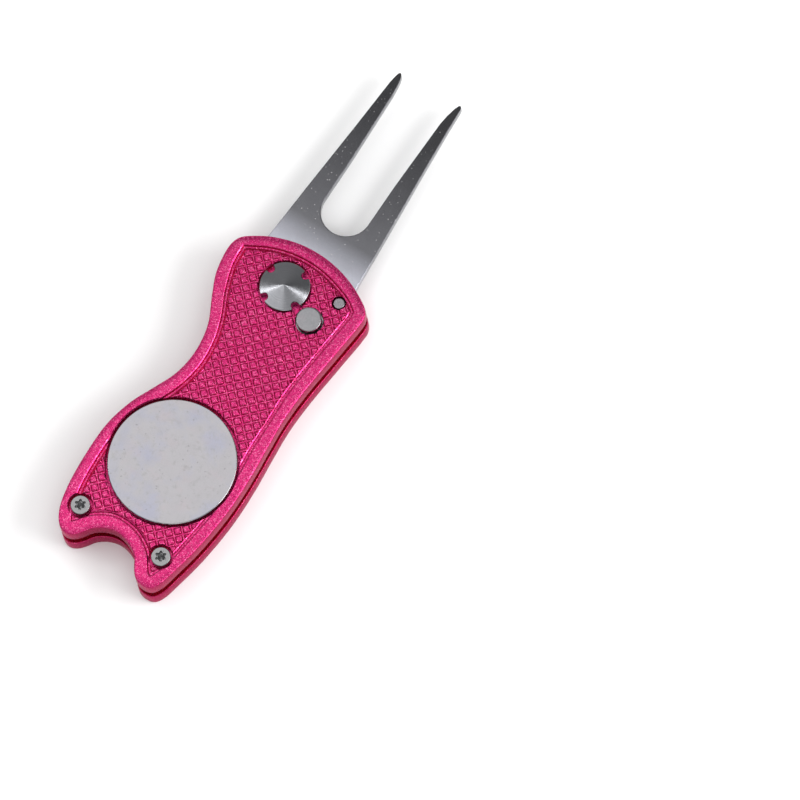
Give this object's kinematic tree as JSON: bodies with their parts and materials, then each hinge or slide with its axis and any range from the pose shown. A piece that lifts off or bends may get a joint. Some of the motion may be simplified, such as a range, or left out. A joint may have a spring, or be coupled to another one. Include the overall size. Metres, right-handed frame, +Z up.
{
  "type": "divot repair tool",
  "caption": "Folding golf divot repair tool: two-pronged steel fork that swings out of a knurled pink aluminium handle, with a release button and a magnetic ball marker.",
  "frame": {"origin": "bottom centre of the open tool's bounding box, in the plane of the handle's back rim", "axes": "+Y along the tool to the fork's tips, +Z up through the handle to the face with the button and the marker, +X to the thumb side"},
  "size_m": [0.0304, 0.1134, 0.0109],
  "materials": {
    "pink_anodised": "bead-blasted and anodised bright pink, with a fine sparkling grain",
    "fork_steel": "satin stainless steel sheet",
    "turned_steel": "turned stainless steel with fine circular tool marks",
    "marker_steel": "pale plated steel with faint smudges",
    "screw_steel": "plain zinc-plated steel",
    "spring_steel": "drawn spring wire",
    "washer_bronze": "plain rolled phosphor bronze",
    "magnet_nickel": "nickel-plated magnet"
  },
  "bodies": {
    "handle": {"front_scale": "pink_anodised", "back_scale": "pink_anodised", "pivot_barrel": "turned_steel", "pivot_cap_screw": "turned_steel", "thrust_washer_front": "washer_bronze", "thrust_washer_back": "washer_bronze", "opening_spring": "spring_steel", "button_spring": "spring_steel", "stop_pin": "turned_steel", "tail_screw_left": "screw_steel", "tail_screw_right": "screw_steel", "marker_magnet": "magnet_nickel"},
    "fork": {"fork_blade": "fork_steel"},
    "button": {"release_button": "turned_steel"},
    "marker": {"ball_marker": "marker_steel"}
  },
  "joints": [
    {"name": "fork_swing", "type": "hinge", "parent": "handle", "child": "fork", "pos_m": [-0.00129, 0.00758, 0.00495], "axis": [0, 0, 1], "range_deg": [0, 178], "stiffness_Nm_per_rad": 0.01, "springref_deg": -28.65, "deforming": ["opening_spring"]},
    {"name": "button_press", "type": "slide", "parent": "handle", "child": "button", "axis": [0, 0, -1], "range_m": [0, 0.0014], "stiffness_N_per_m": 300, "springref_m": -0.002, "deforming": ["button_spring"]},
    {"name": "marker_lift", "type": "slide", "parent": "handle", "child": "marker", "axis": [0, 0, 1], "range_m": [0, 0.015]}
  ]
}
